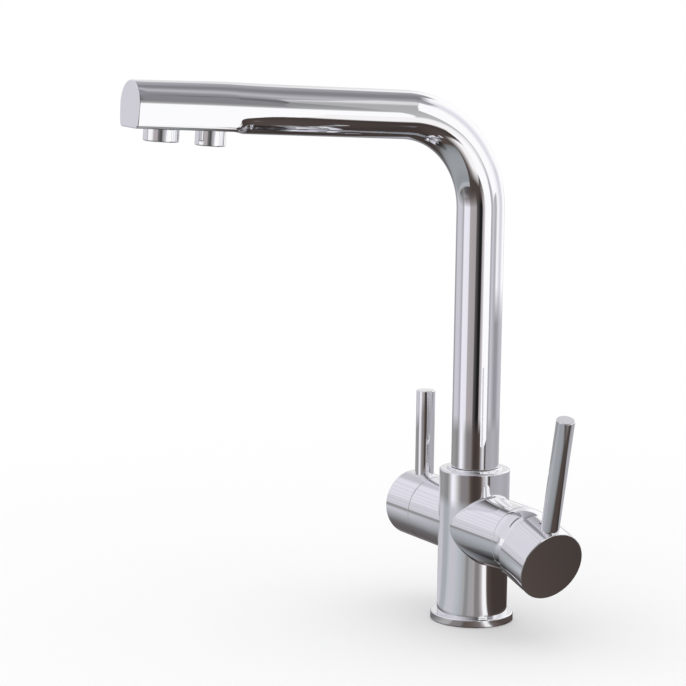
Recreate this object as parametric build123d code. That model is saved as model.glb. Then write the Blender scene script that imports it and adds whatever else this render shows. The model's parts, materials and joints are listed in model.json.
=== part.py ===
from build123d import *
from math import cos, radians, sin, sqrt
import os

# A kitchen tap for hot, cold and filtered water. The origin is the middle of the foot on
# the worktop, +Z is up, the spout reaches along -Y, the mixer handle is on the +X side
# and the filter handle on the -X side. Millimetres and degrees.

# ---- Fits ----
fit_gap = 0.05  # radial, screwed and pressed pieces of one body
running_gap = 0.08  # radial, turning and plugged pieces
face_gap = 0.05  # between flat faces that slide on each other
seam = 0.3  # between outer skins that move past each other
edge_break = 0.4  # chamfer on visible edges
overcut = 1.0  # cutters run this far past a skin
on_plane = 0.01  # an edge this close to a plane lies on it

# ---- Foot ----
ring_width = 4.1  # outside the barrel
ring_top = 5.3
ring_lift = 0.4  # metal stands this far above the worktop, on the gasket
ring_edge = 0.8
gasket_setback = 1.5  # from the ring's rim
gasket_inset = 1.2  # from the body's foot
gasket_height = 1.6
spigot_step = 2.6  # the body's foot is this much slimmer than the barrel

# ---- Barrel and arms ----
barrel_radius = 23.0
barrel_rise = 37.1  # barrel top above the arms' axis
barrel_edge = 0.9
axis_height = 63.6  # the two side arms' common axis
arm_wall = 2.8  # outside the cartridge nut
mixer_arm_end = 56.2
filter_arm_end = 46.0
junction_radius = 1.2

# ---- Water ways and fixings in the underside ----
hose_thread_radius = 4.5
hose_thread_depth = 12.0
inlet_radius = 3.2
inlet_x = 7.0
inlet_y = 6.5
filter_inlet_x = -11.5
filter_inlet_y = -3.5
filter_inlet_radius = 3.0
filter_inlet_drop = 3.1  # its riser ends this far below the arms' axis
stud_radius = 2.5
stud_depth = 14.0
stud_x = -3.0
stud_y = 13.0

# ---- Spout socket in the barrel ----
socket_step = 1.6  # the socket is this much slimmer than the tube
socket_rise = 2.4  # its floor above the arms' axis
collar_width = 2.5  # outside the tube
collar_depth = 4.0
collar_rise = 1.2
collar_edge = 0.7
nipple_radius = 4.6
nipple_drop = 11.6  # its floor below the arms' axis

# ---- Spout ----
tube_radius = 15.5
tube_wall = 1.2
arm_height = 329.5  # where the spout arm's axis meets the upright axis
arm_rise = 3.3  # degrees, the spout arm climbs towards its end
bend_radius = 63.0
reach = 250.5  # along the spout arm from the upright axis
head_length = 78.5
shoulder_length = 12.0
head_back_waist = 0.9  # the head's back is this much slimmer than the tube on each side
head_end_waist = 2.3
head_foot_inset = 2.0  # the flat underside is this much narrower on each side
head_end_foot_inset = 1.6
head_crown = 0.4  # the back of the head rises this far above the tube
head_slope = 1.1  # and its end lies this much lower again
head_flat = 1.8  # the flat underside lies this far above the tube's
head_corner = 2.6
head_inner_corner = 0.8
head_edge = 0.6
end_wall = 1.5

# ---- Outlets, measured back from the head's end and below the spout arm's axis ----
mixed_outlet_setback = 22.0
mixed_collar_radius = 10.9
mixed_collar_height = 7.7
mixed_bore_radius = 7.9
mixed_collar_wall = 0.6
filter_outlet_setback = 55.3
filter_collar_radius = 9.4
filter_collar_height = 9.5
filter_bore_radius = 6.6
filter_collar_wall = 0.9
collar_thread_length = 6.7
washer_height = 1.2
outlet_lip = 1.0
outlet_throat = 5.0
boss_wall = 1.2
elbow_wall = 2.1
elbow_roof = 2.2  # above the pipe
elbow_throat_top = 1.5
elbow_stop = 1.2  # metal between the pipe's end and the throat
insert_recess = 0.8
insert_height = 10.0
jet_radius = 0.6
jet_pitch = 2.1

# ---- Swivel joint of the spout ----
sleeve_gap = 0.4
sleeve_length = 24.2  # below the barrel's top
sleeve_bore = 9.5
sleeve_plug = 9.8  # length brazed into the tube
sleeve_web = 4.0
sleeve_port_radius = 1.9
sleeve_port_count = 6
slide_ring_height = 2.5
slide_ring_wall = 1.4
slide_ring_low = 1.0  # above the sleeve's foot
slide_ring_high = 17.5
oring_radius = 1.05
oring_low = 6.2  # above the sleeve's foot
oring_high = 9.4
oring_groove = 2.4
oring_seat_gap = 0.03
keeper_rise = 14.4  # above the sleeve's foot
keeper_groove = 5.0
keeper_groove_depth = 1.9
keeper_tip_radius = 2.2
screw_radius = 2.5
screw_hex = 2.5  # across flats of the key socket
screw_hex_depth = 2.2

# ---- Filtered-water pipe in the spout ----
pipe_radius = 4.0
pipe_bore = 3.0
pipe_foot_drop = 6.5  # below the sleeve's foot
spigot_gap = 1.0  # over the bottom of its bore
spigot_bore = 2.6
spigot_flange_radius = 6.0
spigot_oring_rise = 6.0  # above the bottom of its bore
spigot_oring_radius = 0.6

# ---- Mixer cartridge, along the mixer arm ----
pivot_offset = 2.2  # the handle's pivot lies this far outside the arm's end
turn_at_rest = 4.6  # handle leans this far towards the spout side
tilt_at_rest = 16.9  # handle is opened this far outwards
cartridge_length = 24.4  # from the chamber's floor to the pivot
housing_radius = 17.4
housing_wall = 2.2
housing_shoulder_offset = -3.9  # from the pivot
housing_end_offset = 4.1
housing_neck_step = 1.95
port_radius = 3.0
port_drop = 6.0
outlet_rise = 7.5
outlet_port_radius = 3.5
port_seal_outer = 4.9
port_seal_inner = 3.5
port_seal_height = 1.2
port_seal_proud = 0.3
base_plate = 4.0
disc_height = 3.5
fixed_disc_gap = 0.1
moving_disc_radius = 10.6
disc_pocket_radius = 6.8
disc_pocket_depth = 1.6
carrier_height = 6.4
rotor_radius = 11.87
rotor_flange_radius = 13.0
rotor_flange_height = 1.4
rotor_end_offset = 5.6  # from the pivot
rotor_slot_width = 8.3
rotor_slot_length = 16.6
pin_radius = 2.0
pin_length = 23.2
nut_wall = 2.0
nut_length = 13.0
nut_end_offset = 2.6  # from the pivot
nut_notch_width = 4.0
nut_notch_count = 4

# ---- Mixer dome, stem and handle, measured from the pivot along the handle ----
dome_wall = 1.3
dome_opening_angle = 44.5  # from the arm's axis, seen from the pivot
dome_skirt_length = 4.25
ball_gap = 0.4  # between the dome and the hollow of the knob
stem_square = 7.6
stem_boss = 9.0
stem_boss_width = 8.0
stem_end = 28.5
stem_neck_radius = 1.6
stem_ball_radius = 2.7
stem_ball_at = 9.5
ball_pocket_gap = 0.3
knob_step = 0.8  # the knob is this much fatter than the arm
knob_rim = 7.6
knob_end = 33.0
knob_socket_gap = 0.1
knob_boss_radius = 6.4
knob_boss_start = 13.0
knob_socket_end = 29.0
mixer_lever_at = 25.7
mixer_lever_radius = 5.9
mixer_lever_length = 77.8  # above the knob's skin
lever_seat_depth = 2.0
lever_stud_radius = 3.0
lever_stud_length = 7.8
set_screw_at = 17.2
set_screw_length = 4.5
set_screw_tip_gap = 0.1
plug_radius = 1.9
plug_height = 1.3

# ---- Filter headwork and handle, measured from the end of the filter arm ----
headwork_depth = 26.0
headwork_radius = 10.4
headwork_skirt_radius = 9.0
headwork_bore = 7.5
headwork_skirt_depth = 12.0
headwork_bore_depth = 13.0
headwork_hex = 24.0  # across flats
headwork_hex_height = 4.0
headwork_neck_radius = 7.0
headwork_neck_length = 11.0
headwork_window_width = 6.0
headwork_window_depth = 17.8
headwork_window_length = 4.0
headwork_lift = 0.4
headwork_oring_depth = 10.4
headwork_oring_radius = 0.8
seat_seal_outer = 7.3
seat_seal_inner = 4.5
seat_seal_height = 1.8
valve_disc_height = 3.0
valve_sector = 80.0  # degrees of each opening in the ceramic discs
valve_sector_inner = 1.6
valve_sector_outer = 6.2
spindle_radius = 4.0
spindle_head_radius = 5.0
spindle_length = 21.0
spindle_oring_depth = 4.0
spindle_oring_radius = 0.45
relief_inner = 13.5
relief_wall = 2.5
relief_depth = 18.0
filter_port_radius = 1.6
filter_port_angle = 30.0  # below level, where the way out leaves the chamber
filter_port_reach = 4.0
cap_length = 28.6
cap_bore = 16.5
cap_wall = 6.0
cap_hub_radius = 7.6
cap_hub_gap = 0.8  # from the headwork's neck
filter_lever_offset = 16.0
filter_lever_radius = 6.3
filter_lever_length = 56.5
filter_lever_stud = 4.0
filter_screw_offset = 17.5

# ---- Sizes and places worked out from those above ----
half_turn = 180.0
ring_radius = barrel_radius + ring_width
gasket_outer = ring_radius - gasket_setback
spigot_radius = barrel_radius - spigot_step
gasket_inner = spigot_radius + gasket_inset
nut_radius = housing_radius + nut_wall
arm_radius = nut_radius + arm_wall
knob_radius = arm_radius + knob_step
relief_outer = arm_radius - relief_wall
fixed_disc_radius = housing_radius - housing_wall - fixed_disc_gap
housing_neck_radius = housing_radius - housing_neck_step

barrel_top = axis_height + barrel_rise
filter_inlet_top = axis_height - filter_inlet_drop
socket_radius = tube_radius - socket_step
socket_floor = axis_height + socket_rise
nipple_floor = axis_height - nipple_drop
collar_radius = tube_radius + collar_width
sleeve_radius = socket_radius - sleeve_gap
sleeve_foot = barrel_top - sleeve_length
slide_ring_levels = (sleeve_foot + slide_ring_low, sleeve_foot + slide_ring_high)
oring_seats = (sleeve_foot + oring_low, sleeve_foot + oring_high)
keeper_level = sleeve_foot + keeper_rise
keeper_groove_radius = sleeve_radius - keeper_groove_depth
pipe_foot = sleeve_foot - pipe_foot_drop
spigot_foot = nipple_floor + spigot_gap
spigot_oring_level = nipple_floor + spigot_oring_rise

head_start = reach - head_length
head_back_half_width = tube_radius - head_back_waist
head_end_half_width = tube_radius - head_end_waist
head_back_foot = head_back_half_width - head_foot_inset
head_end_foot = head_end_half_width - head_end_foot_inset
head_back_top = tube_radius + head_crown
head_end_top = head_back_top - head_slope
head_bottom = tube_radius - head_flat
mixed_outlet_at = reach - mixed_outlet_setback
mixed_thread_radius = mixed_bore_radius + mixed_collar_wall
mixed_collar_drop = head_bottom + mixed_collar_height
filter_outlet_at = reach - filter_outlet_setback
filter_thread_radius = filter_bore_radius + filter_collar_wall
filter_collar_drop = head_bottom + filter_collar_height
collar_thread_top = head_bottom - collar_thread_length
elbow_radius = filter_thread_radius + elbow_wall
elbow_top = pipe_radius + elbow_roof

pivot_x = mixer_arm_end + pivot_offset
chamber_floor = pivot_x - cartridge_length
housing_shoulder = pivot_x + housing_shoulder_offset
housing_end = pivot_x + housing_end_offset
rotor_end = pivot_x + rotor_end_offset
nut_end = pivot_x + nut_end_offset
nut_start = nut_end - nut_length
dome_start = mixer_arm_end + face_gap
dome_skirt_end = dome_start + dome_skirt_length

headwork_floor = filter_arm_end - headwork_depth
headwork_skirt_end = filter_arm_end - headwork_skirt_depth
headwork_bore_end = filter_arm_end - headwork_bore_depth
headwork_neck_end = filter_arm_end + headwork_neck_length
headwork_window_start = filter_arm_end - headwork_window_depth
headwork_oring_at = filter_arm_end - headwork_oring_depth
relief_floor = filter_arm_end - relief_depth
spindle_end = filter_arm_end + spindle_length
spindle_oring_at = filter_arm_end - spindle_oring_depth
cap_end = filter_arm_end + cap_length
cap_hub_start = headwork_neck_end + cap_hub_gap
filter_lever_at = filter_arm_end + filter_lever_offset
filter_screw_at = filter_arm_end + filter_screw_offset

spout_foot = barrel_top + collar_rise + seam
arm_direction = Vector(0, -cos(radians(arm_rise)), sin(radians(arm_rise)))
arm_corner = Vector(0, 0, arm_height)
arm_frame = Location((0, 0, axis_height))
filter_frame = arm_frame * Location((0, 0, 0), (0, 0, half_turn))
turned_frame = arm_frame * Location((0, 0, 0), (turn_at_rest, 0, 0))
handle_frame = turned_frame * Location((pivot_x, 0, 0), (0, tilt_at_rest, 0))
disc_shift = stem_ball_at * sin(radians(tilt_at_rest))
fixed_disc_start = chamber_floor + port_seal_proud + base_plate
moving_disc_start = fixed_disc_start + disc_height + face_gap
carrier_start = moving_disc_start + disc_height
rotor_start = carrier_start + carrier_height + face_gap
cavity_end = rotor_start + rotor_flange_height + face_gap
valve_fixed_start = headwork_floor + seat_seal_height
valve_moving_start = valve_fixed_start + valve_disc_height + face_gap
spindle_start = valve_moving_start + valve_disc_height
pipe_end = filter_outlet_at - outlet_throat - elbow_stop
cartridge_ports = ((inlet_y, -port_drop), (-inlet_y, -port_drop), (0, outlet_rise))


# ---- Building blocks ----
def post(radius, low, high, x=0.0, y=0.0):
    """An upright round bar between two heights."""
    bottom = (Align.CENTER, Align.CENTER, Align.MIN)
    return Pos(x, y, low) * Cylinder(radius, high - low, align=bottom)


def bar(radius, start, end, y=0.0, z=0.0):
    """A round bar along X between two places."""
    bottom = (Align.CENTER, Align.CENTER, Align.MIN)
    return Location((start, y, z), (0, 90, 0)) * Cylinder(radius, end - start, align=bottom)


def rod(radius, start, end):
    """A round bar between any two points."""
    start, end = Vector(*start), Vector(*end)
    bottom = (Align.CENTER, Align.CENTER, Align.MIN)
    return Plane(origin=start, z_dir=end - start) * Cylinder(radius, (end - start).length, align=bottom)


def block(x_size, y_size, z_size, x=0.0, y=0.0, z=0.0):
    """A box about its middle."""
    return Pos(x, y, z) * Box(x_size, y_size, z_size)


def hexagon_bar(across, start, end):
    """A hexagonal bar along X."""
    flat = RegularPolygon(across / 2, 6, major_radius=False)
    return Location((start, 0, 0), (0, 90, 0)) * extrude(flat, end - start)


def key_socket(length):
    """The hexagonal key hole in the top of an upright grub screw of this length."""
    flat = RegularPolygon(screw_hex / 2, 6, major_radius=False)
    return Pos(0, 0, length - screw_hex_depth) * extrude(flat, screw_hex_depth)


def grub_screw(length):
    """A screw without a head, standing on its point at the origin."""
    screw = chamfer(post(screw_radius, 0, length).edges(), edge_break)
    return screw - key_socket(length)


def oring(groove_floor, thickness_radius):
    """A round seal ring about Z in a groove of this floor radius."""
    return Torus(groove_floor + oring_seat_gap + thickness_radius, thickness_radius)


def at_end(shape, axis, last=True):
    """The edges of a shape that lie furthest along an axis, or nearest."""
    return shape.edges().group_by(axis)[-1 if last else 0]


def arm_plane(distance):
    """The plane across the spout arm: X stays level, Y points up."""
    place = arm_corner + arm_direction * distance
    return Plane(origin=place, x_dir=(1, 0, 0), z_dir=arm_direction)


def below_arm(distance, radius, top, bottom):
    """A round bar square to the spout arm; heights count up from the arm's axis."""
    centre = arm_plane(distance)
    return rod(radius, centre.from_local_coords((0, bottom, 0)), centre.from_local_coords((0, top, 0)))


def height_on_arm(distance, edge):
    """How far an edge's middle lies above the spout arm's axis."""
    return arm_plane(distance).to_local_coords(edge.center()).Y


# ---- Foot and body ----
def base_ring():
    ring = post(ring_radius, ring_lift, ring_top)
    ring = fillet(at_end(ring, Axis.Z), ring_edge)
    ring -= post(spigot_radius + fit_gap, ring_lift, ring_top)
    groove = post(gasket_outer + fit_gap, ring_lift, gasket_height)
    return ring - (groove - post(gasket_inner - fit_gap, ring_lift, gasket_height))


def base_gasket():
    return post(gasket_outer, 0, gasket_height) - post(gasket_inner, 0, gasket_height)


def body_outside():
    """Barrel and both arms, with rounded junctions and edges."""
    barrel = post(barrel_radius, ring_top, barrel_top)
    arms = arm_frame * bar(arm_radius, -filter_arm_end, mixer_arm_end)
    body = barrel + arms
    crossing = [e for e in body.edges() if e.geom_type not in (GeomType.CIRCLE, GeomType.LINE)]
    body = fillet(crossing, junction_radius)
    body = fillet(at_end(body, Axis.Z), barrel_edge)
    body = chamfer(at_end(body, Axis.X), edge_break)
    body = chamfer(at_end(body, Axis.X, last=False), edge_break)
    return body + post(spigot_radius, ring_lift, ring_top)


def spout_socket():
    """The hollow that takes the spout's sleeve, its collar and the filter spigot."""
    hollow = post(socket_radius, socket_floor, barrel_top)
    hollow += post(collar_radius + fit_gap, barrel_top - collar_depth, barrel_top)
    hollow += post(nipple_radius, nipple_floor, socket_floor)
    screw_mouth = (0, barrel_radius + overcut, keeper_level)
    return hollow + rod(screw_radius + fit_gap, (0, 0, keeper_level), screw_mouth)


def mixer_hollow():
    """Cartridge chamber, its nut thread and the three ways that lead to it."""
    hollow = bar(housing_radius + fit_gap, chamber_floor, mixer_arm_end)
    hollow += bar(nut_radius + fit_gap, nut_start, mixer_arm_end)
    hollow += bar(outlet_port_radius, 0, chamber_floor, z=outlet_rise)
    for side in (-1, 1):
        hollow += bar(inlet_radius, inlet_x, chamber_floor, y=side * inlet_y, z=-port_drop)
    return arm_frame * hollow


def filter_hollow():
    """Headwork chamber, the casting's relief and the filtered-water ways."""
    hollow = bar(headwork_radius + fit_gap, headwork_floor, filter_arm_end)
    relief = bar(relief_outer, relief_floor, filter_arm_end)
    hollow += relief - bar(relief_inner, relief_floor, filter_arm_end)
    seat_middle = (-headwork_floor - overcut, 0, axis_height)
    way_in = rod(filter_inlet_radius, (filter_inlet_x, filter_inlet_y, filter_inlet_top), seat_middle)
    rim = headwork_radius - filter_port_radius / 2
    across, below = rim * cos(radians(filter_port_angle)), rim * sin(radians(filter_port_angle))
    way_out_start = (-headwork_floor - filter_port_reach, across, axis_height - below)
    way_out = rod(filter_port_radius, way_out_start, (0, 0, nipple_floor + filter_port_radius))
    return filter_frame * hollow + way_in + way_out


def underside_holes():
    """Three hose threads with their risers, and two stud threads."""
    thread_top = ring_lift + hose_thread_depth
    holes = post(filter_inlet_radius, ring_lift, filter_inlet_top, filter_inlet_x, filter_inlet_y)
    holes += post(hose_thread_radius, ring_lift, thread_top, filter_inlet_x, filter_inlet_y)
    for side in (-1, 1):
        holes += post(inlet_radius, ring_lift, axis_height - port_drop, inlet_x, side * inlet_y)
        holes += post(hose_thread_radius, ring_lift, thread_top, inlet_x, side * inlet_y)
        holes += post(stud_radius, ring_lift, ring_lift + stud_depth, stud_x, side * stud_y)
    return holes


def body_casting():
    body = body_outside() - spout_socket() - mixer_hollow()
    return body - filter_hollow() - underside_holes()


def spout_collar():
    collar = post(collar_radius, barrel_top - collar_depth, barrel_top + collar_rise)
    collar = fillet(at_end(collar, Axis.Z), collar_edge)
    return collar - post(socket_radius, barrel_top - collar_depth, barrel_top + collar_rise)


def spout_retaining_screw():
    tip = keeper_groove_radius + seam
    length = barrel_radius - edge_break - tip
    screw = post(screw_radius, keeper_groove, length) + post(keeper_tip_radius, 0, keeper_groove)
    screw -= key_socket(length)
    return Location((0, tip, keeper_level), (-90, 0, 0)) * screw


# ---- Spout ----
def spout_path(low, distance):
    """The spout's centre line, from a height on the upright to a distance along the arm."""
    end = arm_corner + arm_direction * distance
    return FilletPolyline((0, 0, low), arm_corner, end, radius=bend_radius)


def round_run(radius, low, distance):
    path = spout_path(low, distance)
    return sweep(Plane(origin=path @ 0, z_dir=path % 0) * Circle(radius), path=path)


def head_section(distance, half_width, foot, top, bottom, corner):
    """The head's outline: an arched top, slightly bowed sides and a flat underside."""
    arch = EllipticalCenterArc((0, 0), half_width, top, start_angle=0, arc_size=half_turn)
    right = TangentArc((half_width, 0), (foot, -bottom), tangent=(0, -1))
    left = TangentArc((-half_width, 0), (-foot, -bottom), tangent=(0, -1))
    floor = Line((-foot, -bottom), (foot, -bottom))
    outline = make_face([arch, right, left, floor])
    feet = outline.vertices().group_by(Axis.Y)[0]
    return arm_plane(distance) * fillet(feet, corner)


def head_run(inset, corner, end):
    """The head's solid, drawn in by an inset, up to a distance along the arm."""
    shoulder = head_start + shoulder_length
    ring = arm_plane(head_start) * Circle(tube_radius - inset)
    back = head_section(shoulder, head_back_half_width - inset, head_back_foot - inset,
                        head_back_top - inset, head_bottom - inset, corner)
    front = head_section(end, head_end_half_width - inset, head_end_foot - inset,
                         head_end_top - inset, head_bottom - inset, corner)
    return loft([ring, back], ruled=True), loft([back, front], ruled=True)


def spout_shell():
    shoulder, head = head_run(0, head_corner, reach)
    rim = [e for e in head.edges() if abs(arm_plane(reach).to_local_coords(e.center()).Z) < on_plane]
    head = fillet(rim, head_edge)
    outside = round_run(tube_radius, spout_foot, head_start) + shoulder + head
    inner_shoulder, inner_head = head_run(tube_wall, head_inner_corner, reach - end_wall)
    inside = round_run(tube_radius - tube_wall, spout_foot, head_start) + inner_shoulder + inner_head
    shell = outside - inside
    wall = (-head_bottom + tube_wall + overcut, -head_bottom - overcut)
    shell -= below_arm(mixed_outlet_at, mixed_thread_radius + fit_gap, *wall)
    return shell - below_arm(filter_outlet_at, filter_thread_radius + fit_gap, *wall)


def outlet_boss():
    """The brass thread brazed in the head for the mixed-water outlet."""
    floor = -head_bottom + tube_wall
    lip = -collar_thread_top + washer_height
    boss = below_arm(mixed_outlet_at, mixed_thread_radius + fit_gap + boss_wall, lip + outlet_lip, floor)
    boss -= below_arm(mixed_outlet_at, mixed_thread_radius + fit_gap, lip, floor)
    return boss - below_arm(mixed_outlet_at, outlet_throat, lip + outlet_lip, floor)


def filter_elbow():
    """The brass block that leads the filtered-water pipe down to its own outlet."""
    floor = -head_bottom + tube_wall
    lip = -collar_thread_top + washer_height
    elbow = below_arm(filter_outlet_at, elbow_radius, elbow_top, floor)
    elbow -= below_arm(filter_outlet_at, filter_thread_radius + fit_gap, lip, floor)
    elbow -= below_arm(filter_outlet_at, outlet_throat, elbow_throat_top, floor)
    back = arm_corner + arm_direction * (filter_outlet_at - elbow_radius - overcut)
    seat = arm_corner + arm_direction * pipe_end
    middle = arm_corner + arm_direction * filter_outlet_at
    return elbow - rod(pipe_radius + fit_gap, back, seat) - rod(pipe_bore, back, middle)


def outlet_collar(distance, radius, drop, thread_radius, bore):
    """A chromed nozzle screwed up into the head."""
    collar = below_arm(distance, radius, -head_bottom, -drop)
    lower = [e for e in collar.edges() if height_on_arm(distance, e) < on_plane - drop]
    collar = fillet(lower, ring_edge)
    collar += below_arm(distance, thread_radius, -collar_thread_top, -head_bottom)
    return collar - below_arm(distance, bore, -collar_thread_top, -drop)


def mixed_outlet_collar():
    return outlet_collar(mixed_outlet_at, mixed_collar_radius, mixed_collar_drop,
                         mixed_thread_radius, mixed_bore_radius)


def filter_outlet_collar():
    return outlet_collar(filter_outlet_at, filter_collar_radius, filter_collar_drop,
                         filter_thread_radius, filter_bore_radius)


def jet_insert(distance, bore, drop, rings):
    """A plastic insert with rings of small water holes."""
    low = -drop + insert_recess
    insert = below_arm(distance, bore - fit_gap, low + insert_height, low)
    across = arm_plane(distance).location * Location((0, low - overcut, 0), (-90, 0, 0))
    jet = post(jet_radius, 0, insert_height + 2 * overcut)
    holes = across * jet
    for ring in range(1, rings + 1):
        spots = PolarLocations(ring * jet_pitch, 6 * ring)
        holes += [across * spot * jet for spot in spots]
    return insert - holes


def mixed_aerator():
    return jet_insert(mixed_outlet_at, mixed_bore_radius, mixed_collar_drop, 3)


def filter_flow_straightener():
    return jet_insert(filter_outlet_at, filter_bore_radius, filter_collar_drop, 2)


def outlet_washers():
    top = -collar_thread_top + washer_height
    washers = []
    seats = ((mixed_outlet_at, mixed_thread_radius), (filter_outlet_at, filter_thread_radius))
    for distance, outer in seats:
        ring = below_arm(distance, outer, top, -collar_thread_top)
        washers.append(ring - below_arm(distance, outlet_throat, top, -collar_thread_top))
    return Compound(children=washers)


def swivel_sleeve():
    """The brass foot of the spout that turns in the barrel."""
    sleeve = post(sleeve_radius, sleeve_foot, spout_foot)
    sleeve += post(tube_radius - tube_wall - fit_gap, spout_foot, spout_foot + sleeve_plug)
    sleeve -= post(sleeve_bore, sleeve_foot + sleeve_web, spout_foot + sleeve_plug)
    sleeve -= post(pipe_radius + fit_gap, sleeve_foot, sleeve_foot + sleeve_web)
    spots = PolarLocations((sleeve_bore + pipe_radius) / 2, sleeve_port_count)
    sleeve -= [spot * post(sleeve_port_radius, sleeve_foot, sleeve_foot + sleeve_web) for spot in spots]
    for level in slide_ring_levels:
        middle = level + slide_ring_height / 2
        sleeve -= groove(slide_ring_floor() - fit_gap, middle, slide_ring_height / 2 + fit_gap)
    for level in oring_seats:
        sleeve -= groove(oring_floor(), level, oring_groove / 2)
    return sleeve - groove(keeper_groove_radius, keeper_level, keeper_groove / 2)


def groove(floor_radius, middle, half):
    """A ring-shaped cut around an upright piece."""
    cut = post(sleeve_radius + overcut, middle - half, middle + half)
    return cut - post(floor_radius, middle - half, middle + half)


def slide_ring_floor():
    return socket_radius - running_gap - slide_ring_wall


def oring_floor():
    return socket_radius - running_gap - 2 * oring_radius - oring_seat_gap


def slide_rings():
    rings = []
    for level in slide_ring_levels:
        ring = post(socket_radius - running_gap, level, level + slide_ring_height)
        rings.append(ring - post(slide_ring_floor(), level, level + slide_ring_height))
    return Compound(children=rings)


def spout_orings():
    ring = oring(oring_floor(), oring_radius)
    return Compound(children=[Pos(0, 0, level) * ring for level in oring_seats])


def filter_pipe():
    end = pipe_end - face_gap
    return round_run(pipe_radius, pipe_foot, end) - round_run(pipe_bore, pipe_foot, end)


def spigot_oring_floor():
    return nipple_radius - running_gap / 2 - 2 * spigot_oring_radius - oring_seat_gap


def filter_spigot():
    """The plug at the pipe's foot that turns in the middle of the barrel."""
    neck_top = socket_floor + seam
    spigot = post(nipple_radius - running_gap, spigot_foot, neck_top)
    spigot += post(spigot_flange_radius, neck_top, sleeve_foot)
    spigot -= post(spigot_bore, spigot_foot, sleeve_foot)
    spigot -= post(pipe_radius + fit_gap, pipe_foot, sleeve_foot)
    return spigot - groove(spigot_oring_floor(), spigot_oring_level, spigot_oring_radius + fit_gap)


def spigot_oring():
    return Pos(0, 0, spigot_oring_level) * oring(spigot_oring_floor(), spigot_oring_radius)


# ---- Mixer cartridge ----
def cartridge_port_seals():
    seals = []
    end = chamber_floor + port_seal_height
    for y, z in cartridge_ports:
        ring = bar(port_seal_outer, chamber_floor, end, y, z)
        seals.append(arm_frame * (ring - bar(port_seal_inner, chamber_floor, end, y, z)))
    return Compound(children=seals)


def cartridge_housing():
    start = chamber_floor + port_seal_proud
    housing = bar(housing_radius, start, housing_shoulder)
    housing += bar(housing_neck_radius, housing_shoulder, housing_end)
    housing -= bar(housing_radius - housing_wall, fixed_disc_start, cavity_end)
    housing -= bar(rotor_radius + running_gap, cavity_end, housing_end)
    for y, z in cartridge_ports:
        housing -= bar(port_radius, start, fixed_disc_start, y, z)
        housing -= bar(port_seal_outer + fit_gap, start, chamber_floor + port_seal_height, y, z)
    return arm_frame * housing


def cartridge_fixed_disc():
    disc = bar(fixed_disc_radius, fixed_disc_start, fixed_disc_start + disc_height)
    for y, z in cartridge_ports:
        disc -= bar(port_radius, fixed_disc_start, fixed_disc_start + disc_height, y, z)
    return arm_frame * disc


def cartridge_moving_disc():
    disc = bar(moving_disc_radius, moving_disc_start, carrier_start, z=disc_shift)
    disc -= bar(disc_pocket_radius, moving_disc_start, moving_disc_start + disc_pocket_depth, z=disc_shift)
    return turned_frame * disc


def disc_carrier():
    """The plastic shoe that the stem's ball pushes, with the moving disc under it."""
    end = carrier_start + carrier_height
    pocket = 2 * (stem_ball_radius + ball_pocket_gap)
    pocket_floor = pivot_x - stem_ball_at - stem_ball_radius - ball_pocket_gap
    carrier = bar(moving_disc_radius, carrier_start, end, z=disc_shift)
    carrier -= block(end - pocket_floor, pocket, pocket, (end + pocket_floor) / 2, 0, disc_shift)
    return turned_frame * carrier


def cartridge_rotor():
    rotor = bar(rotor_radius, rotor_start, rotor_end)
    rotor += bar(rotor_flange_radius, rotor_start, rotor_start + rotor_flange_height)
    length = rotor_end - rotor_start
    rotor -= block(length, rotor_slot_width, rotor_slot_length, rotor_start + length / 2)
    rotor -= rod(pin_radius + fit_gap, (pivot_x, -pin_length / 2, 0), (pivot_x, pin_length / 2, 0))
    return turned_frame * rotor


def pivot_pin():
    return turned_frame * rod(pin_radius, (pivot_x, -pin_length / 2, 0), (pivot_x, pin_length / 2, 0))


def cartridge_nut():
    nut = bar(nut_radius, nut_start, nut_end)
    nut -= bar(housing_radius + fit_gap, nut_start, housing_shoulder)
    nut -= bar(housing_neck_radius + fit_gap, housing_shoulder, nut_end)
    notch = block(nut_end - dome_skirt_end + overcut, nut_notch_width, 2 * nut_radius, nut_end)
    for step in range(nut_notch_count // 2):
        nut -= Rot(half_turn * step / (nut_notch_count // 2), 0, 0) * notch
    return arm_frame * nut


# ---- Mixer dome and handle ----
def dome_ball(radius):
    """A ball about the pivot, with its poles on the arm's axis."""
    return Location((pivot_x, 0, 0), (0, 90, 0)) * Sphere(radius)


def mixer_dome():
    """A thin ball-shaped cover about the pivot, open where the stem comes out."""
    zone = bar(arm_radius, dome_start, pivot_x + arm_radius)
    opening = bar(arm_radius * sin(radians(dome_opening_angle)), pivot_x, pivot_x + arm_radius)
    shell = (dome_ball(arm_radius) - dome_ball(arm_radius - dome_wall)) & zone
    skirt = bar(arm_radius - dome_wall + face_gap, dome_start, dome_skirt_end)
    skirt -= bar(nut_radius + fit_gap, dome_start, dome_skirt_end)
    return arm_frame * (shell - opening + skirt)


def mixer_stem():
    """The metal lever of the cartridge: a ball below the pivot, a square above it."""
    square_start = stem_boss / 2
    stem = block(stem_boss, stem_boss_width, stem_boss)
    length = stem_end - square_start
    stem += block(length, stem_square, stem_square, square_start + length / 2)
    stem += bar(stem_neck_radius, -stem_ball_at, 0)
    stem += Pos(-stem_ball_at, 0, 0) * Sphere(stem_ball_radius)
    stem -= rod(pin_radius + running_gap, (0, -stem_boss, 0), (0, stem_boss, 0))
    return handle_frame * stem


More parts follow.
